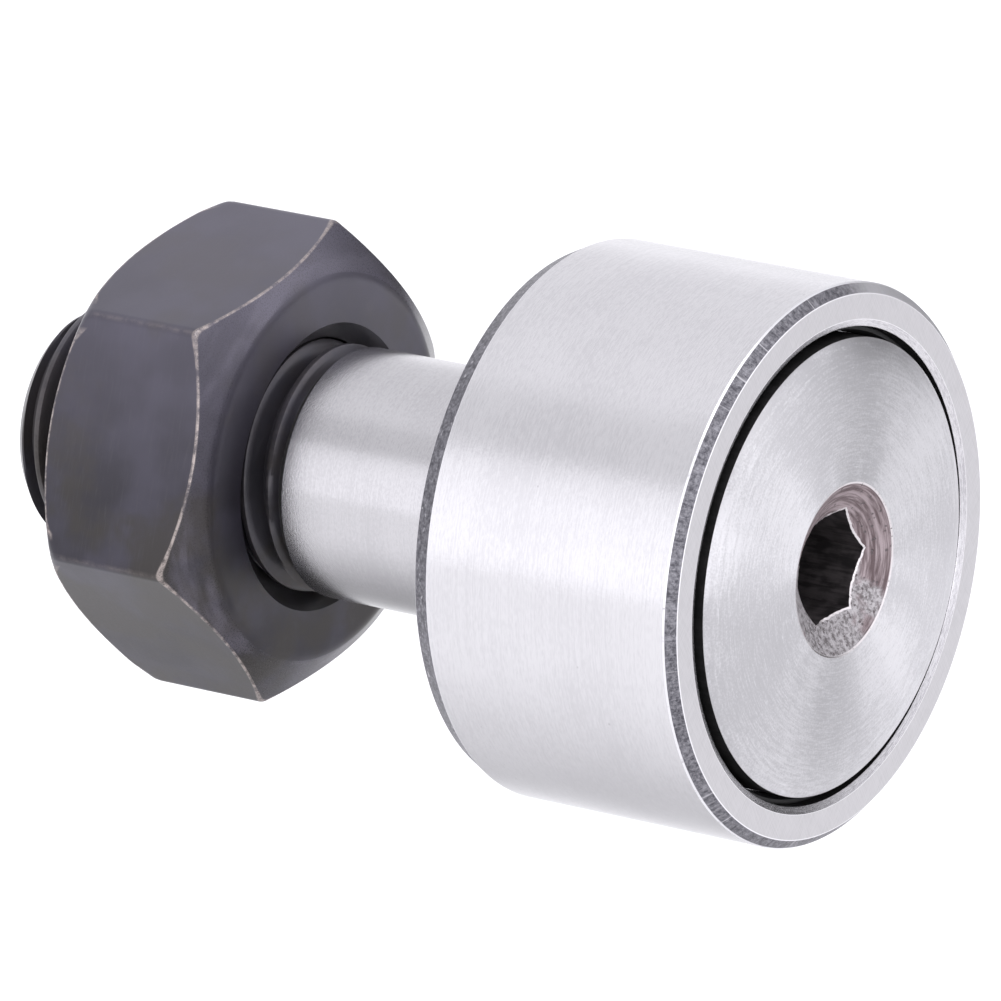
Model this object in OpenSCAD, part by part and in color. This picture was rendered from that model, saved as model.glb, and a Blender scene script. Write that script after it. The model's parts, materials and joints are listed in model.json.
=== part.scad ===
// Stud-type track roller, also called a cam follower. A thick outer ring runs on caged needle
// rollers around a hardened stud. The stud's head and a side plate keep the ring in place, a
// seal closes each gap, and a thin hexagon nut clamps the stud's shank in a machine frame.
// The stud's axis is X, with the head at +X. The origin is where that axis meets the mounting
// shoulder, and Z points up.

/* [Outer ring] */
// Outside diameter of the ring
ring_d = 22; // [21.6:0.2:24]
// Width of the ring
ring_w = 12; // [11.8:0.1:12.4]
// Size of the chamfer around the ring's front face, both ways
front_chamfer = 0.35; // [0.2:0.05:0.6]
// Size of the chamfer around the ring's rear face, along the axis
rear_chamfer_w = 0.8; // [0.4:0.1:1]
// Size of the same chamfer, towards the axis
rear_chamfer_h = 0.4; // [0.2:0.05:0.6]
// Diameter of the recess in each face
recess_d = 18.6; // [18.4:0.1:19.2]
// Size of the shallow chamfer at the recess's mouth, towards the rim
mouth_chamfer_h = 0.3; // [0.1:0.05:0.4]
// Size of the same chamfer, along the axis
mouth_chamfer_w = 0.12; // [0.05:0.01:0.3]

/* [Stud] */
// Diameter of the plain shank and of the thread
shank_d = 10; // [9:0.5:10.5]
// Length of shank and thread behind the shoulder
shank_len = 23; // [21:0.5:25]
// Length of the plain, ground part of the shank
plain_len = 9.7; // [8.5:0.1:10]
// Length of the thread
thread_len = 12; // [10:0.5:12]
// Pitch of the thread
thread_pitch = 1.25; // [1:0.25:1.5]
// Diameter of the track that the needle rollers run on
track_d = 12; // [11.8:0.1:12]
// Diameter of the head and of the side plate
head_d = 17.85; // [17.6:0.05:18.2]
// Thickness of the head and of the side plate
head_t = 2.1; // [1.8:0.1:2.2]
// Distance that the head and the side plate stand out of the ring
head_rise = 0.6; // [0.4:0.05:0.7]
// Size of the chamfer around the head and the side plate, both ways
head_chamfer = 0.55; // [0.2:0.05:0.8]

/* [Hexagon socket] */
// Width across the flats of the socket
socket_af = 4; // [3:0.5:5]
// Depth of the socket below the head's face
socket_depth = 4.5; // [3:0.5:6]
// Diameter of the countersink around the socket
socket_sink_d = 6.8; // [6.2:0.1:8]
// Turn of the socket about the stud's axis, in degrees
socket_turn = 4.5; // [0:0.5:60]

/* [Needle rollers and cage] */
// Number of needle rollers
needle_count = 14; // [10:1:14]
// Diameter of a needle roller
needle_d = 2.5; // [2.3:0.1:2.5]
// Length of a needle roller
needle_len = 7.8; // [6:0.2:7.8]
// Thickness of the cage's wall
cage_t = 1.3; // [0.9:0.1:1.4]

/* [Hexagon nut] */
// Width across the flats of the nut
nut_af = 16.8; // [15:0.2:18]
// Height of the nut
nut_h = 7.8; // [5:0.2:9]
// Distance from the shoulder to the nut's near face
nut_gap = 11.1; // [10:0.1:12]
// Diameter of the flat face inside the nut's chamfer
nut_face_d = 15.3; // [14:0.1:16]
// Angle between the nut's chamfer and its flat face, in degrees
nut_cone_angle = 34; // [15:1:40]
// Turn of the nut about the stud's axis, in degrees
nut_turn = 14.8; // [0:0.2:60]

/* [Hidden] */
// Running clearances, as a gap between two surfaces
needle_play = 0.03;
end_play = 0.1;
seal_play = 0.05;
pocket_play = 0.06;
nut_play = 0.04;

ring_r = ring_d / 2;
recess_r = recess_d / 2;
shank_r = shank_d / 2;
track_r = track_d / 2;
head_r = head_d / 2;

// Stations along the axis, from the shoulder at 0
ring_rear = head_rise;
ring_front = ring_rear + ring_w;
head_front = ring_front + head_rise;
head_rear = head_front - head_t;
plate_front = head_t;
rib_rear = plate_front + end_play;
rib_front = head_rear - end_play;

// Needle rollers lie on one pitch circle between the stud's track and the ring's track
needle_r = needle_d / 2;
pitch_r = track_r + needle_play + needle_r;
ring_track_r = pitch_r + needle_r + needle_play;
needle_mid = (plate_front + head_rear) / 2;
needle_edge = 0.2;

// Seat that the side plate is pressed on
seat_r = shank_r + 0.4;

// Seals
seal_w = 1;
seal_lip = 0.3;

// Cage
cage_mid_r = pitch_r - 0.05;
cage_len = rib_front - rib_rear;

// Thread profile, with a flat crest of an eighth of the pitch and a flat root of a quarter
thread_depth = 0.6134 * thread_pitch;
thread_root_r = shank_r - thread_depth;
thread_tip = 0.8;
thread_start = -shank_len + thread_tip;
thread_turns = floor((thread_len - thread_tip) / thread_pitch);
thread_stop = thread_start + thread_turns * thread_pitch;

// Nut
nut_corner_r = nut_af / 2 / cos(30);
nut_bore_r = shank_r + nut_play;
nut_near = -nut_gap;
nut_far = nut_near - nut_h;
nut_cone = (nut_corner_r - nut_face_d / 2) * tan(nut_cone_angle);
nut_sink_r = shank_r + 0.5;

function two_digits(n) = n < 10 ? str("0", n) : str(n);
function needle_name(n) = str("needle_", two_digits(n));

// Turns an outline of [distance along X, radius] points into a round solid about X
module turned(outline) {
    rotate([0, 90, 0]) rotate_extrude($fn = 96) polygon([for (p = outline) [p[1], p[0]]]);
}

// A hexagonal bar along X, from one station to another, with its first corner towards +Y
module hex_bar(across_flats, from, to) {
    translate([from, 0, 0]) rotate([90, 0, 90])
        cylinder(h = to - from, r = across_flats / 2 / cos(30), $fn = 6);
}

module outer_ring() {
    color([0.80, 0.80, 0.82]) turned([
        [ring_rear + mouth_chamfer_w, recess_r],
        [ring_rear, recess_r + mouth_chamfer_h],
        [ring_rear, ring_r - rear_chamfer_h],
        [ring_rear + rear_chamfer_w, ring_r],
        [ring_front - front_chamfer, ring_r],
        [ring_front, ring_r - front_chamfer],
        [ring_front, recess_r + mouth_chamfer_h],
        [ring_front - mouth_chamfer_w, recess_r],
        [rib_front, recess_r],
        [rib_front, ring_track_r],
        [rib_rear, ring_track_r],
        [rib_rear, recess_r],
    ]);
}

// Grooves of the thread, as rings of the thread's own profile
function thread_points() =
    [for (n = [0:thread_turns - 1], p = [[0.0625, 0], [0.375, 1], [0.625, 1], [0.9375, 0]])
        [thread_start + (n + p[0]) * thread_pitch, shank_r - p[1] * thread_depth]];

module stud_body() {
    turned(concat(
        [[-shank_len, 0], [-shank_len, shank_r - thread_tip], [thread_start, shank_r]],
        thread_points(),
        [
            [thread_stop, shank_r],
            [thread_stop + thread_depth, thread_root_r],
            [-plain_len - thread_depth, thread_root_r],
            [-plain_len, shank_r],
            [0, shank_r],
            [0, seat_r],
            [plate_front, seat_r],
            [plate_front, track_r],
            [head_rear, track_r],
            [head_rear, head_r],
            [head_front - head_chamfer, head_r],
            [head_front, head_r - head_chamfer],
            [head_front, 0],
        ]
    ));
}

// The broached hexagon, the drilled cone at its bottom, and the countersink at its mouth
module socket() {
    corner_r = socket_af / 2 / cos(30);
    sink_r = socket_sink_d / 2;
    rotate([socket_turn, 0, 0]) hex_bar(socket_af, head_front - socket_depth, head_front + 1);
    turned([
        [head_front - socket_depth - corner_r / 2, 0],
        [head_front - socket_depth, socket_af / 2],
        [head_front - socket_depth + 0.5, socket_af / 2],
        [head_front - socket_depth + 0.5, 0],
    ]);
    turned([
        [head_front - sink_r * tan(30), 0],
        [head_front, sink_r],
        [head_front + 1, sink_r],
        [head_front + 1, 0],
    ]);
}

module stud() {
    color([0.74, 0.74, 0.76]) difference() {
        stud_body();
        socket();
    }
}

module side_plate() {
    color([0.68, 0.68, 0.70]) turned([
        [0, seat_r],
        [0, head_r - head_chamfer],
        [head_chamfer, head_r],
        [plate_front, head_r],
        [plate_front, seat_r],
    ]);
}

module cage() {
    inner_r = cage_mid_r - cage_t / 2;
    outer_r = cage_mid_r + cage_t / 2;
    pocket = [needle_len + 2 * pocket_play, 2 * pocket_play + needle_d, cage_t * 3];
    color([0.62, 0.58, 0.48]) difference() {
        turned([[rib_rear, inner_r], [rib_rear, outer_r], [rib_front, outer_r], [rib_front, inner_r]]);
        for (n = [1:needle_count])
            rotate([n * 360 / needle_count, 0, 0])
                translate([needle_mid, 0, cage_mid_r]) cube(pocket, center = true);
    }
}

// A seal fills the gap between the ring's recess and a flange, with a lip that clears the flange
module seal_between(inside, outside) {
    lip_r = head_r + seal_play;
    color([0.08, 0.08, 0.08]) turned([
        [inside, recess_r],
        [inside, lip_r + seal_lip / 2],
        [(inside + outside) / 2, lip_r],
        [outside, lip_r + seal_lip / 2],
        [outside, recess_r],
    ]);
}

module front_seal() {
    seal_between(rib_front, rib_front + seal_w);
}

module rear_seal() {
    seal_between(rib_rear, rib_rear - seal_w);
}

module needle(n) {
    low = needle_mid - needle_len / 2;
    high = needle_mid + needle_len / 2;
    color([0.86, 0.86, 0.88]) rotate([n * 360 / needle_count, 0, 0]) translate([0, 0, pitch_r]) turned([
        [low, 0],
        [low, needle_r - needle_edge],
        [low + needle_edge, needle_r],
        [high - needle_edge, needle_r],
        [high, needle_r - needle_edge],
        [high, 0],
    ]);
}

module nut_blank() {
    face_r = nut_face_d / 2;
    intersection() {
        rotate([nut_turn, 0, 0]) hex_bar(nut_af, nut_far, nut_near);
        turned([
            [nut_far, 0],
            [nut_far, face_r],
            [nut_far + nut_cone, nut_corner_r],
            [nut_near - nut_cone, nut_corner_r],
            [nut_near, face_r],
            [nut_near, 0],
        ]);
    }
}

module hex_nut() {
    sink = nut_sink_r - nut_bore_r;
    color([0.22, 0.22, 0.24]) difference() {
        nut_blank();
        turned([
            [nut_far - 1, 0],
            [nut_far - 1, nut_sink_r + 1],
            [nut_far + sink, nut_bore_r],
            [nut_near - sink, nut_bore_r],
            [nut_near + 1, nut_sink_r + 1],
            [nut_near + 1, 0],
        ]);
    }
}

outer_ring();
stud();
side_plate();
cage();
front_seal();
rear_seal();
hex_nut();
for (n = [1:needle_count]) needle(n);
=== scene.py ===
"""Looks of the stud-type cam follower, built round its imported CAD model."""
import json
import math

import bmesh
import bpy
from mathutils import Matrix, Vector, noise


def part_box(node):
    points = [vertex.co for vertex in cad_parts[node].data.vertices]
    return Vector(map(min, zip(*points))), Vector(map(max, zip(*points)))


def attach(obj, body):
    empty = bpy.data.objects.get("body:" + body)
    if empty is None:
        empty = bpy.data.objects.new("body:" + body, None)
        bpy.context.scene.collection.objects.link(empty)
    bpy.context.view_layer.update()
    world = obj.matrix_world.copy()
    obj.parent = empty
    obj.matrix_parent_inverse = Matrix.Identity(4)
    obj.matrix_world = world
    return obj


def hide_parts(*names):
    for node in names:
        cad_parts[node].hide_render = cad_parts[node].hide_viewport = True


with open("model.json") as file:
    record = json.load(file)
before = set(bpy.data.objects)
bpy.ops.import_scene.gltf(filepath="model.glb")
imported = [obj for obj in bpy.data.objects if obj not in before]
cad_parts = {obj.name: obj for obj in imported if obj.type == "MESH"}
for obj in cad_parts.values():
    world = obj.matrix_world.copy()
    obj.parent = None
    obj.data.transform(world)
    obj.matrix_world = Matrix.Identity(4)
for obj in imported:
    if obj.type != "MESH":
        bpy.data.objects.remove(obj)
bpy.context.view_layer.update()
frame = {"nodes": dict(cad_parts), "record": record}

MM = 0.001
TURN = 2 * math.pi
SHARP_ANGLE = math.radians(34)

# A fillet has this many steps. A fillet of SOFT_FILLET is not worn, one smaller by WEAR_FADE fully is.
FILLET_STEPS = 4
SOFT_FILLET, WEAR_FADE = 0.45, 0.12


# ---------------------------------------------------------------- sizes, in millimetres

def box_mm(node):
    """Corners of a CAD node's box, in millimetres."""
    low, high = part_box(node)
    return low / MM, high / MM


mounts = {m["name"]: m for m in frame["record"]["mounts"]}

ring_low, ring_high = box_mm("outer_ring")
stud_low, stud_high = box_mm("stud")
plate_high = box_mm("side_plate")[1]
nut_low, nut_high = box_mm("hex_nut")
seal_low, seal_high = box_mm("front_seal")

# Outer ring
RING_R = mounts["tread"]["dims"]["r_mm"]
RING_REAR, RING_FRONT = ring_low.x, ring_high.x
FRONT_CHAMFER = 0.35
REAR_CHAMFER_W, REAR_CHAMFER_H = 0.8, 0.4
RECESS_R = seal_high.z
MOUTH_W, MOUTH_H = 0.12, 0.3
TRACK_CLEARANCE = 0.03

# Stud
SHANK_R = mounts["shank"]["dims"]["r_mm"]
SHANK_END = -mounts["shank"]["dims"]["length_mm"]
STUD_END, HEAD_FRONT = stud_low.x, stud_high.x
HEAD_R = plate_high.z
HEAD_T = plate_high.x
HEAD_REAR = HEAD_FRONT - HEAD_T
HEAD_CHAMFER = 0.55
# How far the rounded rim has fallen below the flat face, at some distances inside the head's radius
HEAD_DOME = [(0, 2.7), (0.012, 2.2), (0.04, 1.7), (0.085, 1.2),
             (0.16, 0.8), (0.27, 0.46), (0.40, 0.2), (0.48, 0.09)]
SEAT_R = SHANK_R + 0.4
STUD_TRACK_R = 6.0

# Hexagon socket
SOCKET_AF = 4.0
SOCKET_DEPTH = 4.5
SOCKET_SINK_R = 3.4
SOCKET_TURN = math.radians(4.5)

# Thread, whose groove is rounded at the crest and grows shallow beside the neck. CREST_HALF,
# FLANK_W and THREAD_PHASE are parts of a pitch.
PITCH = 1.25
CREST_R = SHANK_R - 0.02
THREAD_DEPTH = 0.6134 * PITCH
CREST_HALF, FLANK_W, FLANK_CURVE = 0.09, 0.30, 1.25
THREAD_TIP = 0.8
THREAD_PHASE = 0.764
NECK_W, NECK_H = 0.36, 0.34
RUNOUT_SLOPE, SHALLOW_STEP, SHALLOW_SLOPE = 1.6, 0.1, 0.5
LINES_PER_PITCH = 16

# Nut
NUT_NEAR, NUT_FAR = nut_high.x, nut_low.x
NUT_AF = 16.8
NUT_FACE_R, NUT_REAR_FACE_R = 7.65, 7.95
NUT_CONE = math.tan(math.radians(34))
NUT_TURN = math.radians(14.8)
NUT_SINK_R = 5.75
NUT_SINK_FILLET = 0.25
NUT_CREASE, NUT_ARC = 0.8, 0.09
NUT_CORNER = 0.5
NUT_CORNER_REACH, NUT_CORNER_NEAR, NUT_CORNER_REAR = 1.2, 0.12, 0.8
NUT_WEAR, NUT_WEAR_REACH = 0.2, 0.16
NUT_THREAD_GAP, NUT_MINOR_GAP = 0.07, 0.09

# Needle rollers
NEEDLES = sorted(n for n in frame["nodes"] if n.startswith("needle_"))
needle_low, needle_high = box_mm(NEEDLES[0])
NEEDLE_R = 1.25
NEEDLE_EDGE = 0.2
PITCH_R = STUD_TRACK_R + TRACK_CLEARANCE + NEEDLE_R
RING_TRACK_R = PITCH_R + NEEDLE_R + TRACK_CLEARANCE
END_PLAY = 0.1

# Seals
SEAL_INSIDE = seal_low.x
SEAL_T = seal_high.x - seal_low.x


# ---------------------------------------------------------------- mesh code

def unit(a, b):
    """Unit vector and length from point a to point b."""
    dx, dr = b[0] - a[0], b[1] - a[1]
    length = math.hypot(dx, dr) or 1e-9
    return dx / length, dr / length, length


def arc_points(before, corner, after, radius):
    """Points of a fillet at a corner, with a guard point on each side that keeps the flats flat."""
    d1, d2 = unit(corner, before), unit(corner, after)
    half = math.acos(max(-1.0, min(1.0, d1[0] * d2[0] + d1[1] * d2[1]))) / 2
    reach = min(radius / math.tan(half), 0.4 * d1[2], 0.4 * d2[2]) if half < 1.55 else 0.0
    radius = reach * math.tan(half)
    guard1 = min(reach * 1.6 + 0.01, 0.48 * d1[2])
    guard2 = min(reach * 1.6 + 0.01, 0.48 * d2[2])
    start = (corner[0] + d1[0] * reach, corner[1] + d1[1] * reach)
    end = (corner[0] + d2[0] * reach, corner[1] + d2[1] * reach)
    points = [(corner[0] + d1[0] * guard1, corner[1] + d1[1] * guard1)]
    if reach < 1e-6:
        points += [(corner[0], corner[1])] * (FILLET_STEPS + 1)
    else:
        bis = (d1[0] + d2[0], d1[1] + d2[1])
        size = math.hypot(*bis) or 1e-9
        far = radius / math.sin(half)
        centre = (corner[0] + bis[0] / size * far, corner[1] + bis[1] / size * far)
        a0 = math.atan2(start[1] - centre[1], start[0] - centre[0])
        a1 = math.atan2(end[1] - centre[1], end[0] - centre[0])
        sweep = (a1 - a0 + math.pi) % TURN - math.pi
        for k in range(FILLET_STEPS + 1):
            a = a0 + sweep * k / FILLET_STEPS
            points.append((centre[0] + radius * math.cos(a), centre[1] + radius * math.sin(a)))
    points.append((corner[0] + d2[0] * guard2, corner[1] + d2[1] * guard2))
    return points


def expand(corners, closed):
    """Turns (x, radius, fillet, zone) corners into (x, radius, zone, wear) points.
    A zone is the material of the stretch that follows a corner. A small fillet is worn."""
    points, count = [], len(corners)
    for i, (x, r, fillet, zone) in enumerate(corners):
        ends = not closed and i in (0, count - 1)
        if fillet <= 0 or ends:
            points.append((x, r, zone, 0.0))
            continue
        before, after = corners[i - 1], corners[(i + 1) % count]
        arc = arc_points(before, (x, r), after, fillet)
        old = before[3]
        worn = min(max((SOFT_FILLET - fillet) / WEAR_FADE, 0.0), 1.0)
        for k, (px, pr) in enumerate(arc):
            on_arc = 0 < k < len(arc) - 1
            points.append((px, pr, old if k <= FILLET_STEPS // 2 + 1 else zone, worn if on_arc else 0.0))
    return points


def even_columns(count, start=0.0):
    """Evenly spaced angles round the axis, ending one full turn on."""
    return [start + TURN * j / count for j in range(count + 1)]


def spun(name, outline_at, columns, materials, closed=True, wear_at=None):
    """A solid of revolution about X whose outline may change with the angle.
    outline_at(angle) gives (x, radius, zone, wear) points, always the same number of them."""
    rows = [outline_at(a) for a in columns]
    count = len(rows[0])
    verts, wear = [], []
    for a, row in zip(columns, rows):
        c, s = math.cos(a), math.sin(a)
        for x, r, zone, w in row:
            verts.append((x * MM, r * c * MM, r * s * MM))
            wear.append(max(w, wear_at(a, x, r) if wear_at else 0.0))
    slots = list(materials)
    faces, indices = [], []
    last = count if closed else count - 1
    for j in range(len(columns) - 1):
        for k in range(last):
            k2 = (k + 1) % count
            a, b = j * count, (j + 1) * count
            faces.append((a + k, a + k2, b + k2, b + k))
            indices.append(slots.index(rows[j][k][2]))
    mesh = bpy.data.meshes.new(name)
    mesh.from_pydata(verts, [], faces)
    mesh.polygons.foreach_set("material_index", indices)
    attribute = mesh.attributes.new("wear", "FLOAT", "POINT")
    attribute.data.foreach_set("value", wear)
    piece = bpy.data.objects.new(name, mesh)
    bpy.context.scene.collection.objects.link(piece)
    for zone in slots:
        mesh.materials.append(materials[zone])
    clean(mesh)
    return piece


def clean(mesh):
    """Welds coincident points, drops empty faces, turns faces outwards and sets the shading."""
    bm = bmesh.new()
    bm.from_mesh(mesh)
    bmesh.ops.remove_doubles(bm, verts=bm.verts, dist=2e-7)
    bmesh.ops.dissolve_degenerate(bm, edges=bm.edges, dist=1e-7)
    bmesh.ops.recalc_face_normals(bm, faces=bm.faces)
    bm.to_mesh(mesh)
    bm.free()
    mesh.shade_smooth()
    mesh.set_sharp_from_angle(angle=SHARP_ANGLE)
    mesh.update()


def plain_outline(corners, closed=True):
    """An outline that is the same at every angle."""
    points = expand(corners, closed)
    return lambda angle: points


# ---------------------------------------------------------------- material nodes

class Nodes:
    """Small helper that adds nodes to a material and links them. Its place, x, y, z and radius are in
    millimetres, and cos and sin are those of the angle about X, from +Y towards +Z."""

    def __init__(self, name):
        self.material = bpy.data.materials.new(name)
        self.material.use_nodes = True
        self.tree = self.material.node_tree
        self.tree.nodes.clear()
        self.shader = self.tree.nodes.new("ShaderNodeBsdfPrincipled")
        output = self.tree.nodes.new("ShaderNodeOutputMaterial")
        self.tree.links.new(self.shader.outputs[0], output.inputs["Surface"])
        coordinates = self.tree.nodes.new("ShaderNodeTexCoord")
        to_mm = self.tree.nodes.new("ShaderNodeVectorMath")
        to_mm.operation = "SCALE"
        to_mm.inputs["Scale"].default_value = 1 / MM
        self.link(coordinates.outputs["Object"], to_mm.inputs[0])
        self.place = to_mm.outputs[0]
        split = self.tree.nodes.new("ShaderNodeSeparateXYZ")
        self.link(self.place, split.inputs[0])
        self.x, self.y, self.z = split.outputs
        yy = self.math("MULTIPLY", self.y, self.y)
        zz = self.math("MULTIPLY", self.z, self.z)
        self.radius = self.math("SQRT", self.math("ADD", yy, zz))
        safe = self.math("MAXIMUM", self.radius, 0.01)
        self.cos = self.math("DIVIDE", self.y, safe)
        self.sin = self.math("DIVIDE", self.z, safe)

    def link(self, source, target):
        self.tree.links.new(source, target)

    def feed(self, socket, value):
        """Sets a socket to a number or colour, or links another node's output to it."""
        if isinstance(value, (int, float, tuple)):
            socket.default_value = value
        else:
            self.link(value, socket)

    def math(self, kind, a, b=0.0, clamp=False):
        node = self.tree.nodes.new("ShaderNodeMath")
        node.operation = kind
        node.use_clamp = clamp
        self.feed(node.inputs[0], a)
        self.feed(node.inputs[1], b)
        return node.outputs[0]

    def combine(self, x, y, z):
        node = self.tree.nodes.new("ShaderNodeCombineXYZ")
        for socket, value in zip(node.inputs, (x, y, z)):
            self.feed(socket, value)
        return node.outputs[0]

    def stretched(self, along_x, across, round_about):
        """Coordinates in which marks run round the axis: cells per mm along X and radially,
        and cells per radian round the axis."""
        first = self.math("MULTIPLY", self.x, along_x)
        first = self.math("ADD", first, self.math("MULTIPLY", self.radius, across))
        return self.combine(first, self.math("MULTIPLY", self.cos, round_about),
                            self.math("MULTIPLY", self.sin, round_about))

    def noise(self, vector, scale=1.0, detail=2.0, roughness=0.5):
        node = self.tree.nodes.new("ShaderNodeTexNoise")
        self.feed(node.inputs["Vector"], vector)
        node.inputs["Scale"].default_value = scale
        node.inputs["Detail"].default_value = detail
        node.inputs["Roughness"].default_value = roughness
        return node.outputs["Fac"]

    def cells(self, vector, scale):
        """Distance to the nearest of some scattered points."""
        node = self.tree.nodes.new("ShaderNodeTexVoronoi")
        self.feed(node.inputs["Vector"], vector)
        node.inputs["Scale"].default_value = scale
        return node.outputs["Distance"]

    def ramp(self, value, *stops):
        """Smooth ramp through (position, grey or colour) stops."""
        node = self.tree.nodes.new("ShaderNodeValToRGB")
        node.color_ramp.interpolation = "EASE"
        elements = node.color_ramp.elements
        while len(elements) < len(stops):
            elements.new(0.5)
        for element, (position, colour) in zip(elements, stops):
            element.position = position
            if isinstance(colour, (int, float)):
                colour = (colour,) * 3
            element.color = (*colour, 1.0)
        self.feed(node.inputs[0], value)
        return node.outputs[0]

    def mix(self, factor, a, b):
        node = self.tree.nodes.new("ShaderNodeMix")
        node.data_type = "RGBA"
        self.feed(node.inputs["Factor"], factor)
        self.feed(node.inputs["A"], a if not isinstance(a, tuple) else (*a, 1.0))
        self.feed(node.inputs["B"], b if not isinstance(b, tuple) else (*b, 1.0))
        return node.outputs["Result"]

    def attribute(self, name):
        node = self.tree.nodes.new("ShaderNodeAttribute")
        node.attribute_name = name
        return node.outputs["Fac"]

    def bump(self, height, strength, distance, below=None):
        """Bumps of a height field, the distance in millimetres, on top of those below."""
        node = self.tree.nodes.new("ShaderNodeBump")
        node.inputs["Strength"].default_value = strength
        node.inputs["Distance"].default_value = distance * MM
        self.feed(node.inputs["Height"], height)
        if below is not None:
            self.link(below, node.inputs["Normal"])
        return node.outputs[0]

    def finish(self, colour, roughness, normal=None, metallic=1.0, **sockets):
        """Feeds the shader and gives the finished material."""
        self.feed(self.shader.inputs["Base Color"], colour)
        self.feed(self.shader.inputs["Roughness"], roughness)
        self.feed(self.shader.inputs["Metallic"], metallic)
        if normal is not None:
            self.link(normal, self.shader.inputs["Normal"])
        for name, value in sockets.items():
            self.shader.inputs[name.replace("_", " ")].default_value = value
        return self.material

    def turned_tangent(self):
        """Stretches highlights across tool marks that run round X."""
        node = self.tree.nodes.new("ShaderNodeTangent")
        node.direction_type = "RADIAL"
        node.axis = "X"
        self.link(node.outputs[0], self.shader.inputs["Tangent"])
        self.shader.inputs["Anisotropic Rotation"].default_value = 0.25


STEEL = (0.640, 0.632, 0.650)
STEEL_DIM = (0.575, 0.567, 0.586)


def ground_steel(name, light=STEEL, dim=STEEL_DIM, rough=0.20, grip=0.5, underside_shade=0.26):
    """Cylindrically ground steel: short strokes round the axis, fine grain and a few pits, with painted
    shade that darkens the underside."""
    n = Nodes(name)
    strokes = n.noise(n.stretched(14, 14, 34), detail=3, roughness=0.65)
    lines = n.noise(n.stretched(22, 22, 1.5), detail=2)
    grain = n.noise(n.place, scale=10, detail=4, roughness=0.65)
    cloud = n.noise(n.place, scale=0.3, detail=2)
    pits = n.ramp(n.cells(n.place, scale=0.75), (0.0, 0.55), (0.02, 0.55), (0.05, 1.0))
    tone = n.math("ADD", n.math("MULTIPLY", strokes, 0.5), n.math("MULTIPLY", cloud, 0.25))
    tone = n.math("ADD", tone, n.math("MULTIPLY", lines, 0.25))
    colour = n.mix(n.ramp(tone, (0.40, 0.0), (0.58, 1.0)), dim, light)
    colour = n.mix(pits, (0.30, 0.29, 0.31), colour)
    # Painted shade: the colour is darkened towards the underside (-Z).
    below = n.math("MULTIPLY", n.sin, -1.0)
    colour = n.mix(n.ramp(below, (0.15, 0.0), (0.85, underside_shade)), colour, (0.03, 0.03, 0.03))
    roughness = n.math("ADD", n.math("MULTIPLY", grain, 0.10), rough - 0.05)
    normal = n.bump(strokes, grip, 0.010)
    normal = n.bump(grain, 0.30, 0.008, normal)
    n.turned_tangent()
    return n.finish(colour, roughness, normal, Anisotropic=0.5)


def face_ground_steel(name):
    """Surface-ground annular face: fine straight scratches that cross, and a satin sheen."""
    n = Nodes(name)
    rising = n.math("ADD", n.math("MULTIPLY", n.y, 16), n.math("MULTIPLY", n.z, 9))
    falling = n.math("SUBTRACT", n.math("MULTIPLY", n.y, 14), n.math("MULTIPLY", n.z, 12))
    one = n.noise(n.combine(0.0, rising, n.math("MULTIPLY", n.z, 1.1)), detail=3, roughness=0.6)
    two = n.noise(n.combine(3.0, falling, n.math("MULTIPLY", n.y, 1.3)), detail=3, roughness=0.6)
    marks = n.math("MULTIPLY", n.math("ADD", one, two), 0.5)
    colour = n.mix(n.ramp(marks, (0.36, 0.0), (0.6, 1.0)), (0.455, 0.447, 0.46), (0.515, 0.505, 0.52))
    colour = n.mix(n.attribute("wear"), colour, (0.78, 0.775, 0.79))
    normal = n.bump(marks, 0.25, 0.010)
    return n.finish(colour, n.math("ADD", n.math("MULTIPLY", marks, 0.12), 0.24), normal)


def turned_face_steel(name):
    """Face of the stud's head: concentric tool marks, arcs of scratches and a streaky sheen."""
    n = Nodes(name)
    rings = n.noise(n.stretched(13, 13, 6), detail=4, roughness=0.75)
    arcs = n.noise(n.stretched(11, 11, 8), detail=3, roughness=0.6)
    grain = n.noise(n.place, scale=11, detail=3, roughness=0.7)
    sectors = n.noise(n.stretched(0, 0.12, 1.6), detail=2, roughness=0.5)
    arc_lines = n.ramp(arcs, (0.0, 0.0), (0.60, 0.0), (0.72, 1.0))
    specks = n.ramp(n.cells(n.place, scale=1.7), (0.0, 1.0), (0.04, 1.0), (0.08, 0.0))
    tone = n.math("ADD", n.math("MULTIPLY", rings, 0.35), n.math("MULTIPLY", sectors, 0.35))
    tone = n.math("ADD", tone, n.math("MULTIPLY", grain, 0.30))
    colour = n.mix(n.ramp(tone, (0.42, 0.0), (0.59, 1.0)), (0.475, 0.470, 0.486), (0.62, 0.614, 0.632))
    colour = n.mix(n.math("MULTIPLY", arc_lines, 0.35), colour, (0.80, 0.80, 0.82))
    colour = n.mix(n.math("MULTIPLY", specks, 0.30), colour, (0.35, 0.34, 0.35))
    normal = n.bump(rings, 0.30, 0.012)
    normal = n.bump(grain, 0.30, 0.010, normal)
    normal = n.bump(arc_lines, 0.20, 0.008, normal)
    n.turned_tangent()
    roughness = n.math("ADD", n.math("MULTIPLY", arcs, 0.14), 0.38)
    return n.finish(colour, roughness, normal, Anisotropic=0.9)


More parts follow.
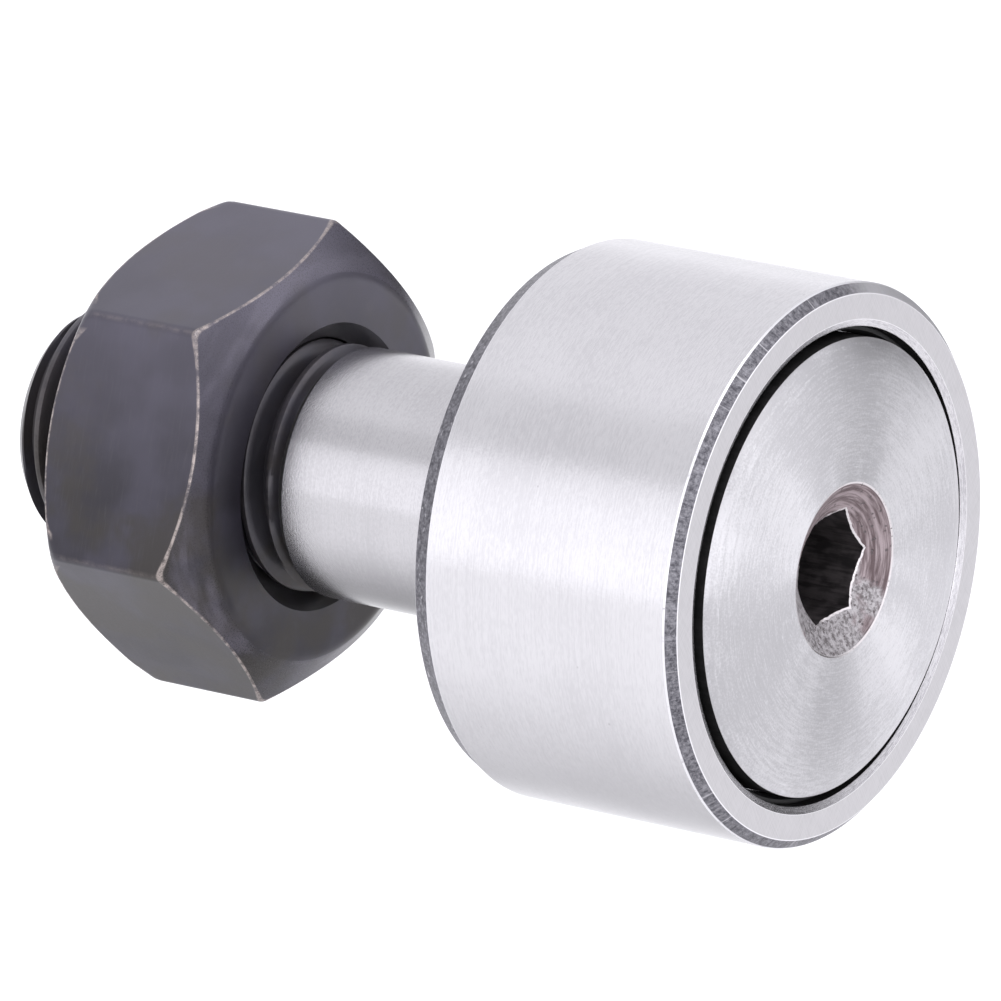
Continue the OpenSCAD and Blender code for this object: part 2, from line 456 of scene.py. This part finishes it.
def scale_steel(name):
    """Unground chamfer: dark heat-treatment scale, mottled, with fine marks across it, and a painted
    highlight that lightens the +Y side."""
    n = Nodes(name)
    across = n.noise(n.stretched(5, 5, 60), detail=4, roughness=0.8)
    mottle = n.noise(n.place, scale=5.5, detail=6, roughness=0.8)
    nicks = n.ramp(n.noise(n.stretched(4, 4, 38), detail=2), (0.0, 0.0), (0.66, 0.0), (0.72, 1.0))
    blend = n.math("ADD", n.math("MULTIPLY", across, 0.3), n.math("MULTIPLY", mottle, 0.7))
    colour = n.mix(n.ramp(blend, (0.38, 0.0), (0.66, 1.0)), (0.055, 0.053, 0.064), (0.29, 0.285, 0.31))
    colour = n.mix(n.math("MULTIPLY", nicks, 0.6), colour, (0.60, 0.59, 0.62))
    # Painted highlight: the colour is lightened towards the +Y side.
    colour = n.mix(n.ramp(n.cos, (0.04, 0.0), (0.30, 0.85)), colour, (0.52, 0.515, 0.535))
    colour = n.mix(n.attribute("wear"), colour, (0.80, 0.79, 0.82))
    normal = n.bump(blend, 0.7, 0.04)
    return n.finish(colour, n.math("ADD", n.math("MULTIPLY", mottle, 0.3), 0.28), normal, metallic=0.8)


def bright_edge(name, light=(0.72, 0.715, 0.74), dim=(0.34, 0.33, 0.36)):
    """Narrow bevels and burnished rims."""
    n = Nodes(name)
    nicks = n.noise(n.stretched(2, 2, 26), detail=3, roughness=0.6)
    colour = n.mix(n.ramp(nicks, (0.26, 0.0), (0.42, 1.0)), dim, light)
    return n.finish(colour, 0.28, n.bump(nicks, 0.4, 0.02))


def forged_sink(name):
    """Countersink round the socket: rough, pitted, with reddish-brown staining and lighter patches."""
    n = Nodes(name)
    rings = n.noise(n.stretched(0, 8, 1.6), detail=3, roughness=0.6)
    patch = n.noise(n.place, scale=0.42, detail=3, roughness=0.6)
    rough_grain = n.noise(n.place, scale=5, detail=5, roughness=0.75)
    pits = n.ramp(n.cells(n.place, scale=3.4), (0.0, 0.0), (0.10, 0.0), (0.26, 1.0))
    lean = n.math("ADD", n.math("MULTIPLY", n.z, 0.06), n.math("MULTIPLY", n.y, 0.05))
    side = n.math("SUBTRACT", patch, lean)
    stain = n.mix(n.ramp(rings, (0.36, 0.0), (0.64, 1.0)), (0.120, 0.088, 0.093), (0.35, 0.292, 0.305))
    pale = n.mix(n.ramp(rough_grain, (0.36, 0.0), (0.60, 1.0)), (0.14, 0.128, 0.132), (0.44, 0.42, 0.435))
    colour = n.mix(n.ramp(side, (0.50, 0.0), (0.60, 1.0)), stain, pale)
    colour = n.mix(pits, (0.13, 0.11, 0.115), colour)
    colour = n.mix(n.attribute("wear"), colour, (0.72, 0.69, 0.70))
    normal = n.bump(rough_grain, 0.8, 0.08)
    normal = n.bump(pits, 0.6, 0.06, normal)
    return n.finish(colour, 0.48, normal, metallic=0.75)


def oily_black_and_shade(name, low, high):
    """Dark walls: inside the broached hexagon, oily and blackened by heat treatment; in the gaps, painted
    shade.
    """
    n = Nodes(name)
    drag = n.noise(n.combine(n.math("MULTIPLY", n.x, 0.8), n.math("MULTIPLY", n.y, 7),
                             n.math("MULTIPLY", n.z, 7)), detail=3, roughness=0.6)
    blotch = n.noise(n.place, scale=1.6, detail=3)
    both = n.math("MULTIPLY", n.math("ADD", drag, blotch), 0.5)
    colour = n.mix(n.ramp(both, (0.4, 0.0), (0.62, 1.0)), low, high)
    return n.finish(colour, 0.5, n.bump(both, 0.5, 0.04), metallic=0.3)


def black_oxide(name, worn, base, lift, rough, turned_and_lit_bands=0.0):
    """Black oxide on steel: deep grey, a little browned, with painted light on top and painted shade
    below, and worn bright where the mesh says so."""
    n = Nodes(name)
    cloud = n.noise(n.place, scale=0.30, detail=3, roughness=0.5)
    grain = n.noise(n.place, scale=14, detail=4, roughness=0.7)
    rubs = n.noise(n.place, scale=2.4, detail=5, roughness=0.75)
    streak = n.noise(n.combine(n.math("MULTIPLY", n.x, 9), n.math("MULTIPLY", n.y, 0.8),
                               n.math("MULTIPLY", n.z, 0.8)), detail=3, roughness=0.6)
    tint = n.noise(n.place, scale=0.22, detail=4, roughness=0.6)
    colour = n.mix(n.ramp(cloud, (0.35, 0.0), (0.65, 1.0)), base, lift)
    colour = n.mix(n.ramp(tint, (0.44, 0.0), (0.60, 0.8)), colour, (0.030, 0.026, 0.023))
    if turned_and_lit_bands:
        # Lighter bands round the axis: partly turning streaks, partly painted highlight.
        bands = n.noise(n.stretched(2.2, 2.2, 1.4), detail=4, roughness=0.6)
        colour = n.mix(n.ramp(bands, (0.46, 0.0), (0.66, turned_and_lit_bands)), colour, (0.15, 0.14, 0.175))
    colour = n.mix(n.ramp(streak, (0.50, 0.0), (0.85, 0.3)), colour, (0.065, 0.061, 0.066))
    colour = n.mix(n.ramp(rubs, (0.66, 0.0), (0.82, 0.5)), colour, (0.10, 0.08, 0.07))
    # Painted light: the colour is lightened towards the top (+Z).
    top_light = n.math("MULTIPLY", n.z, 0.05, clamp=True)
    colour = n.mix(top_light, colour, (0.135, 0.127, 0.167))
    roughness = n.math("ADD", n.math("MULTIPLY", grain, 0.12), rough - 0.06)
    edge = n.math("MULTIPLY", n.attribute("wear"), n.ramp(rubs, (0.36, 0.10 * worn), (0.66, worn)))
    colour = n.mix(edge, colour, (0.46, 0.40, 0.375))
    metallic = n.math("ADD", n.math("MULTIPLY", edge, 0.5), 0.45)
    normal = n.bump(grain, 0.22, 0.010)
    # Painted shade: the reflection is weakened towards the bottom (-Z).
    below = n.math("MULTIPLY", n.z, -0.1)
    n.feed(n.shader.inputs["Specular IOR Level"], n.ramp(below, (0.1, 0.5), (0.7, 0.30)))
    return n.finish(colour, roughness, normal, metallic=metallic, IOR=1.5)


def seal_rubber(name):
    """Matt black rubber with a fine grain."""
    n = Nodes(name)
    grain = n.noise(n.place, scale=7, detail=4, roughness=0.6)
    colour = n.mix(grain, (0.003, 0.003, 0.003), (0.008, 0.008, 0.009))
    return n.finish(colour, n.math("ADD", n.math("MULTIPLY", grain, 0.2), 0.5),
                    n.bump(grain, 0.4, 0.03), metallic=0.0)


def phosphated_steel(name):
    """Pressed steel with a mottled grey-brown phosphate coat."""
    n = Nodes(name)
    grain = n.noise(n.place, scale=5, detail=5, roughness=0.7)
    colour = n.mix(n.ramp(grain, (0.35, 0.0), (0.65, 1.0)), (0.24, 0.22, 0.18), (0.42, 0.39, 0.32))
    return n.finish(colour, n.math("ADD", n.math("MULTIPLY", grain, 0.2), 0.36), n.bump(grain, 0.4, 0.02))


def lapped_steel(name):
    """Hard, finely finished running surface with faint strokes round the axis."""
    n = Nodes(name)
    strokes = n.noise(n.stretched(12, 12, 20), detail=2)
    colour = n.mix(strokes, (0.66, 0.66, 0.68), (0.78, 0.78, 0.80))
    return n.finish(colour, n.math("ADD", n.math("MULTIPLY", strokes, 0.08), 0.12),
                    n.bump(strokes, 0.15, 0.006))


TREAD = ground_steel("ground_tread")
# The shank's underside gets stronger painted shade.
SHANK = ground_steel("ground_shank", light=(0.545, 0.537, 0.553), dim=(0.485, 0.477, 0.493),
                     grip=0.3, underside_shade=0.63)
FACE = face_ground_steel("ground_face")
TURNED = turned_face_steel("turned_head")
SCALE = scale_steel("heat_scale")
MOUTH = ground_steel("turned_mouth", light=(0.60, 0.59, 0.61), dim=(0.42, 0.41, 0.43),
                     rough=0.26, grip=0.8)
BRIGHT = bright_edge("bright_edge")
BURR = bright_edge("socket_burr", light=(0.60, 0.57, 0.58), dim=(0.15, 0.14, 0.14))
SINK = forged_sink("forged_sink")
SOCKET = oily_black_and_shade("socket_wall", low=(0.014, 0.012, 0.013), high=(0.055, 0.048, 0.050))
# Painted shade: near-black walls in the gaps and recesses, on the head's side and on the neck.
GAP_SHADE = oily_black_and_shade("greased_wall", low=(0.006, 0.006, 0.006), high=(0.016, 0.015, 0.016))
THREAD = black_oxide("black_thread", worn=0.05, base=(0.022, 0.021, 0.025),
                     lift=(0.040, 0.038, 0.046), rough=0.30)
NUT = black_oxide("black_nut", worn=0.7, base=(0.022, 0.020, 0.027),
                  lift=(0.040, 0.037, 0.052), rough=0.36)
# The cone's lighter bands are partly painted highlight.
CONE = black_oxide("black_cone", worn=0.7, base=(0.024, 0.022, 0.029),
                   lift=(0.046, 0.042, 0.057), rough=0.28, turned_and_lit_bands=0.45)
RUBBER = seal_rubber("seal_rubber")
CAGE = phosphated_steel("phosphated_cage")
LAPPED = lapped_steel("lapped_steel")


# ---------------------------------------------------------------- pieces

def make_outer_ring():
    """The ring: a ground tread and faces, scaled chamfers with bright rims, a recess in each face."""
    rib_rear, rib_front = HEAD_T + END_PLAY, HEAD_REAR - END_PLAY
    rim = 0.07
    corners = [
        (RING_REAR + MOUTH_W, RECESS_R, 0.05, "mouth"),
        (RING_REAR, RECESS_R + MOUTH_H, 0.04, "face"),
        (RING_REAR, RING_R - REAR_CHAMFER_H, 0.03, "scale"),
        (RING_REAR + REAR_CHAMFER_W, RING_R, 0.04, "tread"),
        (RING_FRONT - FRONT_CHAMFER - rim, RING_R, 0.02, "bright"),
        (RING_FRONT - FRONT_CHAMFER, RING_R - 0.04, 0.03, "scale"),
        (RING_FRONT, RING_R - FRONT_CHAMFER - 0.05, 0.035, "face"),
        (RING_FRONT, RECESS_R + MOUTH_H, 0.04, "mouth"),
        (RING_FRONT - MOUTH_W, RECESS_R, 0.05, "recess"),
        (RING_FRONT - MOUTH_W - 0.1, RECESS_R, 0.0, "recess"),
        (rib_front, RECESS_R, 0.0, "track"),
        (rib_front, RING_TRACK_R, 0.05, "track"),
        (rib_rear, RING_TRACK_R, 0.05, "track"),
        (rib_rear, RECESS_R, 0.0, "recess"),
    ]
    # The recess walls are painted near-black as shade.
    materials = {"recess": GAP_SHADE, "bright": BRIGHT, "face": FACE, "scale": SCALE, "tread": TREAD,
                 "track": LAPPED, "mouth": MOUTH}
    piece = spun("outer_ring_ground", plain_outline(corners), even_columns(288), materials)
    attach(piece, "outer_ring")
    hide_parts("outer_ring")


def below_crest(x, angle):
    """How far the helical thread, right-handed about X, is below its crest here."""
    turns = (x / PITCH - angle / TURN + THREAD_PHASE) % 1.0
    apart = min(turns, 1.0 - turns)
    drop = min(max((apart - CREST_HALF) / FLANK_W, 0.0), 1.0)
    return drop ** FLANK_CURVE * THREAD_DEPTH


def thread_lines(start, stop, angle):
    """Stations along X of the lines of a helical grid between two ends, clamped to them."""
    first = math.floor(start / PITCH) - 1
    last = math.ceil(stop / PITCH) + 1
    shift = (angle / TURN) * PITCH
    for k in range(first * LINES_PER_PITCH, last * LINES_PER_PITCH + 1):
        yield min(max(k * PITCH / LINES_PER_PITCH + shift, start), stop)


def hexagon_radius(across_flats, turn, angle):
    """Distance from the axis to the wall of a hexagon whose first corner is at turn."""
    sector = (angle - turn) % (TURN / 6) - TURN / 12
    return across_flats / 2 / math.cos(sector)


def make_stud():
    """The stud: socket, head, inner track, shank, neck and thread, as one turned outline."""
    root = CREST_R - THREAD_DEPTH
    neck_r = CREST_R - NECK_H
    neck = SHANK_END - NECK_W
    bottom = HEAD_FRONT - SOCKET_DEPTH
    sink_slope = math.tan(math.radians(30))

    def socket_points(angle):
        wall = hexagon_radius(SOCKET_AF, SOCKET_TURN, angle)
        c, s = math.cos(angle), math.sin(angle)
        burr = noise.noise(Vector((c * 9, s * 9, 0.3))) * 0.07
        burr += noise.noise(Vector((c * 27, s * 27, 4.1))) * 0.04
        tear = noise.noise(Vector((c * 3, s * 3, 7.7))) * 0.08
        mouth = wall + abs(burr)
        depth = (SOCKET_SINK_R - mouth) * sink_slope + tear * 0.5
        return [
            (bottom - 1.0, 0.0, 0, "socket"),
            (bottom, SOCKET_AF / 2 * 0.98, 0, "socket"),
            (bottom, wall, 0, "socket"),
            (HEAD_FRONT - depth - 0.25, wall, 0, "socket"),
            (HEAD_FRONT - depth - 0.02, wall + burr * 0.3, 0.02, "burr"),
            (HEAD_FRONT - depth + 0.03, mouth + 0.06, 0.02, "sink"),
            (HEAD_FRONT - depth * 0.5, (mouth + SOCKET_SINK_R) / 2 + burr * 0.4, 0, "sink"),
            (HEAD_FRONT - 0.03, SOCKET_SINK_R - 0.05, 0.02, "burr"),
            (HEAD_FRONT, SOCKET_SINK_R + 0.02, 0.03, "head"),
        ]

    def outline(angle):
        corners = socket_points(angle) + [
            *[(HEAD_FRONT - fall, HEAD_R - inside, 0, "head") for fall, inside in HEAD_DOME],
            (HEAD_FRONT - HEAD_CHAMFER, HEAD_R, 0.04, "side"),
            (HEAD_REAR, HEAD_R, 0.05, "track"),
            (HEAD_REAR, STUD_TRACK_R, 0.05, "track"),
            (HEAD_T, STUD_TRACK_R, 0.05, "track"),
            (HEAD_T, SEAT_R, 0, "track"),
            (0, SEAT_R, 0.05, "shank"),
            (0, SHANK_R, 0.05, "shank"),
            (SHANK_END, SHANK_R, 0.03, "neck"),
            (SHANK_END - 0.06, neck_r, 0.02, "neck"),
            (neck, neck_r, 0, "thread"),
        ]
        points = expand(corners, closed=False)
        stop = neck - 0.02
        lines = []
        for x in thread_lines(STUD_END, stop, angle):
            runout = neck_r + RUNOUT_SLOPE * (stop - x)
            shallow = neck_r - SHALLOW_STEP - SHALLOW_SLOPE * (stop - x)
            tip = CREST_R - THREAD_TIP + (x - STUD_END)
            r = min(max(CREST_R - below_crest(x, angle), shallow), runout, tip)
            r = max(r, min(root, tip))
            lines.append((x, r, "thread", max(0.0, 1 - (CREST_R - r) / 0.12)))
        points += reversed(lines)
        points.append((STUD_END, (CREST_R - THREAD_TIP) * 0.5, "thread", 0.0))
        points.append((STUD_END, 0.0, "thread", 0.0))
        return points

    # The head's side and the neck are painted near-black as shade.
    materials = {"socket": SOCKET, "burr": BURR, "sink": SINK, "head": TURNED, "side": GAP_SHADE,
                 "track": LAPPED, "shank": SHANK, "neck": GAP_SHADE, "thread": THREAD}
    piece = spun("stud_turned", outline, even_columns(240, SOCKET_TURN), materials, closed=False)
    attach(piece, "stud")
    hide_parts("stud")


def make_side_plate():
    """The plate pressed on the stud behind the rollers, with the head's rounded rim."""
    corners = [
        (0.0, SEAT_R + 0.02, 0.03, "face"),
        *[(fall, HEAD_R - inside, 0, "face") for fall, inside in HEAD_DOME],
        (HEAD_CHAMFER, HEAD_R, 0.04, "side"),
        (HEAD_T, HEAD_R, 0.05, "track"),
        (HEAD_T, SEAT_R + 0.02, 0.03, "track"),
    ]
    # The plate's side is painted near-black as shade.
    materials = {"face": TURNED, "side": GAP_SHADE, "track": LAPPED}
    piece = spun("side_plate_turned", plain_outline(corners), even_columns(240), materials)
    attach(piece, "stud")
    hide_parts("side_plate")


def make_seal(name, node, inside, outside):
    """A seal ring in the ring's recess, from its inner side to its outer side along X."""
    lip = HEAD_R + 0.05
    corners = [
        (inside, RECESS_R - 0.005, 0.04, "rubber"),
        (inside, lip + 0.13, 0.04, "rubber"),
        ((inside + outside) / 2, lip, 0.03, "rubber"),
        (outside, lip + 0.13, 0.05, "rubber"),
        (outside, RECESS_R - 0.005, 0.04, "rubber"),
    ]
    piece = spun(name, plain_outline(corners), even_columns(240), {"rubber": RUBBER})
    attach(piece, "outer_ring")
    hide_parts(node)


def hexagon_columns(across_flats, turn, corner_fillet, per_side):
    """Angles and radii round a hexagon with rounded corners, ending one full turn on."""
    half = across_flats / 2
    corner_r = half / math.cos(TURN / 12)
    centre_r = corner_r - corner_fillet / math.cos(TURN / 12)
    reach = (corner_r - centre_r) * math.cos(TURN / 12) * math.tan(TURN / 12)
    length = half * math.tan(TURN / 12) - reach
    edge_guard = 0.06
    stops = [1 - edge_guard / length] + [1 - 2 * k / per_side for k in range(1, per_side)]
    stops.append(-(1 - edge_guard / length))
    points = []
    for side in range(6):
        at = turn + side * TURN / 6
        for k in range(-3, 4):
            spread = k / 3 * TURN / 12
            y = centre_r + corner_fillet * math.cos(spread)
            z = corner_fillet * math.sin(spread)
            points.append((at + math.atan2(z, y), math.hypot(y, z)))
        middle = at + TURN / 12
        for s in stops:
            offset = -s * length
            points.append((middle + math.atan2(offset, half), math.hypot(offset, half)))
    points.append((points[0][0] + TURN, points[0][1]))
    return points


def make_nut():
    """The hexagon nut: rounded corners, a cone and a countersink at each end, and its own thread."""
    columns = hexagon_columns(NUT_AF, NUT_TURN, NUT_CORNER, 30)
    radius_of = dict(columns)
    major = CREST_R + NUT_THREAD_GAP
    minor = major - THREAD_DEPTH + NUT_MINOR_GAP

    def from_corner(angle):
        sector = (angle - NUT_TURN + TURN / 12) % (TURN / 6) - TURN / 12
        return abs(sector) * NUT_AF / 2 / math.cos(TURN / 12)

    def corner_wear(angle, x, r):
        on_side = r > radius_of[angle] - 0.01
        return NUT_WEAR * max(0.0, 1 - from_corner(angle) / NUT_WEAR_REACH) if on_side else 0.0

    def outline(angle):
        r = radius_of[angle]
        drop, rear_drop = ((r - face_r) * NUT_CONE for face_r in (NUT_FACE_R, NUT_REAR_FACE_R))
        near_corner = max(0.0, 1 - from_corner(angle) / NUT_CORNER_REACH)
        corners = [
            (NUT_NEAR, NUT_SINK_R, NUT_SINK_FILLET, "nut"),
            (NUT_NEAR, NUT_FACE_R, NUT_CREASE, "cone"),
            (NUT_NEAR - drop, r, NUT_ARC + NUT_CORNER_NEAR * near_corner, "nut"),
            (NUT_FAR + rear_drop, r, NUT_ARC + NUT_CORNER_REAR * near_corner, "cone"),
            (NUT_FAR, NUT_REAR_FACE_R, NUT_CREASE, "nut"),
            (NUT_FAR, NUT_SINK_R, NUT_SINK_FILLET, "nut"),
            (NUT_FAR + NUT_SINK_R - minor, minor, 0, "thread"),
        ]
        points = expand(corners, closed=False)[:-1]
        for x in thread_lines(NUT_FAR + 0.02, NUT_NEAR - 0.02, angle):
            r_thread = max(major - below_crest(x, angle), minor)
            r_sink = NUT_SINK_R - min(x - NUT_FAR, NUT_NEAR - x)
            points.append((x, max(r_thread, r_sink), "thread", 0.0))
        return points

    materials = {"nut": NUT, "cone": CONE, "thread": THREAD}
    piece = spun("hex_nut_black", outline, [a for a, r in columns], materials, wear_at=corner_wear)
    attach(piece, "hex_nut")
    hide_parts("hex_nut")


def make_needles():
    """Needle rollers: lapped cylinders with rounded ends, each on its own body."""
    low, high = needle_low.x, needle_high.x
    corners = [
        (low, 0.0, 0, "lapped"),
        (low, NEEDLE_R - 0.004, NEEDLE_EDGE, "lapped"),
        (high, NEEDLE_R - 0.004, NEEDLE_EDGE, "lapped"),
        (high, 0.0, 0, "lapped"),
    ]
    for node in NEEDLES:
        piece = spun(node + "_roller", plain_outline(corners, closed=False), even_columns(48),
                     {"lapped": LAPPED}, closed=False)
        node_low, node_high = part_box(node)
        middle = (node_low + node_high) / 2
        piece.data.transform(Matrix.Translation((0, middle.y, middle.z)))
        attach(piece, node)
        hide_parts(node)


def dress_cage():
    """The cage's CAD mesh is right as it is; it takes a phosphated finish."""
    for slot in frame["nodes"]["cage"].material_slots:
        slot.material = CAGE


# ---------------------------------------------------------------- stage, light and camera

def make_floor():
    """A pale sheet under the part, in metres."""
    size, depth = 0.24, -0.028
    corners = [(-size, -size, depth), (size, -size, depth), (size, size, depth), (-size, size, depth)]
    mesh = bpy.data.meshes.new("floor")
    mesh.from_pydata(corners, [], [(0, 1, 2, 3)])
    floor = bpy.data.objects.new("floor", mesh)
    bpy.context.scene.collection.objects.link(floor)
    n = Nodes("floor_white")
    grain = n.noise(n.place, scale=0.05, detail=2)
    colour = n.mix(grain, (0.93, 0.93, 0.935), (0.95, 0.95, 0.95))
    mesh.materials.append(n.finish(colour, 0.9, metallic=0.0))


def make_world():
    """A soft studio. Long strip lights run parallel to the stud, so the light depends mainly on the
    angle about X, in degrees from +Y towards +Z. Towards +Y, low down, the room is darker, and
    towards +X it is lighter."""
    strips = [(-180, 1.60), (-40, 1.42), (0, 1.36), (10, 1.24), (30, 1.10), (60, 1.08), (90, 1.12),
              (108, 1.13), (118, 0.97), (138, 0.95), (144, 1.34), (158, 1.54), (180, 1.60)]
    studio_tint = (1.0, 0.995, 1.035)
    world = bpy.data.worlds.new("studio")
    bpy.context.scene.world = world
    world.use_nodes = True
    tree = world.node_tree
    tree.nodes.clear()
    background = tree.nodes.new("ShaderNodeBackground")
    output = tree.nodes.new("ShaderNodeOutputWorld")
    tree.links.new(background.outputs[0], output.inputs["Surface"])
    coordinates = tree.nodes.new("ShaderNodeTexCoord")
    split = tree.nodes.new("ShaderNodeSeparateXYZ")
    tree.links.new(coordinates.outputs["Generated"], split.inputs[0])
    x, y, z = split.outputs

    def math_node(kind, a, b=None, c=None):
        node = tree.nodes.new("ShaderNodeMath")
        node.operation = kind
        for socket, value in zip(node.inputs, (a, b, c)):
            if isinstance(value, (int, float)):
                socket.default_value = value
            elif value is not None:
                tree.links.new(value, socket)
        return node.outputs[0]

    def ramp_node(value, stops, tint=(1.0, 1.0, 1.0), top=2.0):
        """A ramp through (position, level) stops, whose output is the level divided by top."""
        node = tree.nodes.new("ShaderNodeValToRGB")
        elements = node.color_ramp.elements
        while len(elements) < len(stops):
            elements.new(0.5)
        for element, (position, level) in zip(elements, stops):
            element.position = position
            element.color = (*(level / top * part for part in tint), 1)
        tree.links.new(value, node.inputs[0])
        return node.outputs[0]

    angle = math_node("ARCTAN2", z, y)
    place = math_node("MULTIPLY_ADD", angle, 1 / TURN, 0.5)
    bands = ramp_node(place, [((a + 180) / 360, level) for a, level in strips], tint=studio_tint)
    xx = math_node("MULTIPLY", x, x)
    yy = math_node("MULTIPLY", y, y)
    flat = math_node("SQRT", math_node("ADD", xx, yy))
    toward = math_node("MULTIPLY_ADD", x, 0.17, math_node("MULTIPLY", y, 0.985))
    far = math_node("DIVIDE", toward, math_node("MAXIMUM", flat, 0.05))
    low_down = math_node("MULTIPLY_ADD", math_node("MAXIMUM", z, 0.0), -0.5, 1.0)
    far = math_node("MULTIPLY", far, low_down)
    behind = ramp_node(far, [(0.0, 1.0), (0.68, 1.0), (0.77, 0.75), (0.88, 0.16), (1.0, 0.06)], top=1.0)
    ahead = ramp_node(x, [(0.0, 1.0), (0.2, 1.0), (0.6, 1.45), (1.0, 1.45)])
    light = bands
    for factor in (behind, ahead):
        product = tree.nodes.new("ShaderNodeVectorMath")
        product.operation = "MULTIPLY"
        tree.links.new(light, product.inputs[0])
        tree.links.new(factor, product.inputs[1])
        light = product.outputs[0]
    tree.links.new(light, background.inputs["Color"])
    background.inputs["Strength"].default_value = 4.0


def make_key_light():
    """A large soft box overhead, which keeps the floor white."""
    data = bpy.data.lights.new("key", "AREA")
    data.shape = "RECTANGLE"
    data.size, data.size_y = 0.6, 0.6
    data.energy = 2.0
    light = bpy.data.objects.new("key", data)
    bpy.context.scene.collection.objects.link(light)
    light.location = (0.18, -0.25, 0.80)
    light.rotation_mode = "QUATERNION"
    light.rotation_quaternion = light.location.to_track_quat("Z", "Y")


# The camera's angles are round and above the stud's middle, and its distance and target in metres.
CAMERA_AZIMUTH = math.radians(34.66)
CAMERA_ELEVATION = math.radians(16.70)
CAMERA_DISTANCE = 0.4526
CAMERA_TARGET = Vector((-0.002787, 0.0000224, 0.0000364))
CAMERA_LENS = 418.4


def make_camera():
    """The camera, far off with a long lens."""
    data = bpy.data.cameras.new("camera")
    data.sensor_width = 36
    data.lens = CAMERA_LENS
    data.clip_start, data.clip_end = 0.01, 50
    camera = bpy.data.objects.new("camera", data)
    bpy.context.scene.collection.objects.link(camera)
    level = math.cos(CAMERA_ELEVATION)
    back = Vector((math.sin(CAMERA_AZIMUTH) * level, -math.cos(CAMERA_AZIMUTH) * level,
                   math.sin(CAMERA_ELEVATION)))
    camera.location = CAMERA_TARGET + back * CAMERA_DISTANCE
    camera.rotation_mode = "QUATERNION"
    camera.rotation_quaternion = (-back).to_track_quat("-Z", "Y")
    bpy.context.scene.camera = camera


make_outer_ring()
make_stud()
make_side_plate()
make_seal("front_seal_lip", "front_seal", SEAL_INSIDE, SEAL_INSIDE + SEAL_T)
make_seal("rear_seal_lip", "rear_seal", HEAD_T + END_PLAY, HEAD_T + END_PLAY - SEAL_T)
make_nut()
make_needles()
dress_cage()
make_floor()
make_world()
make_key_light()
make_camera()
bpy.context.scene.view_settings.view_transform = "Standard"
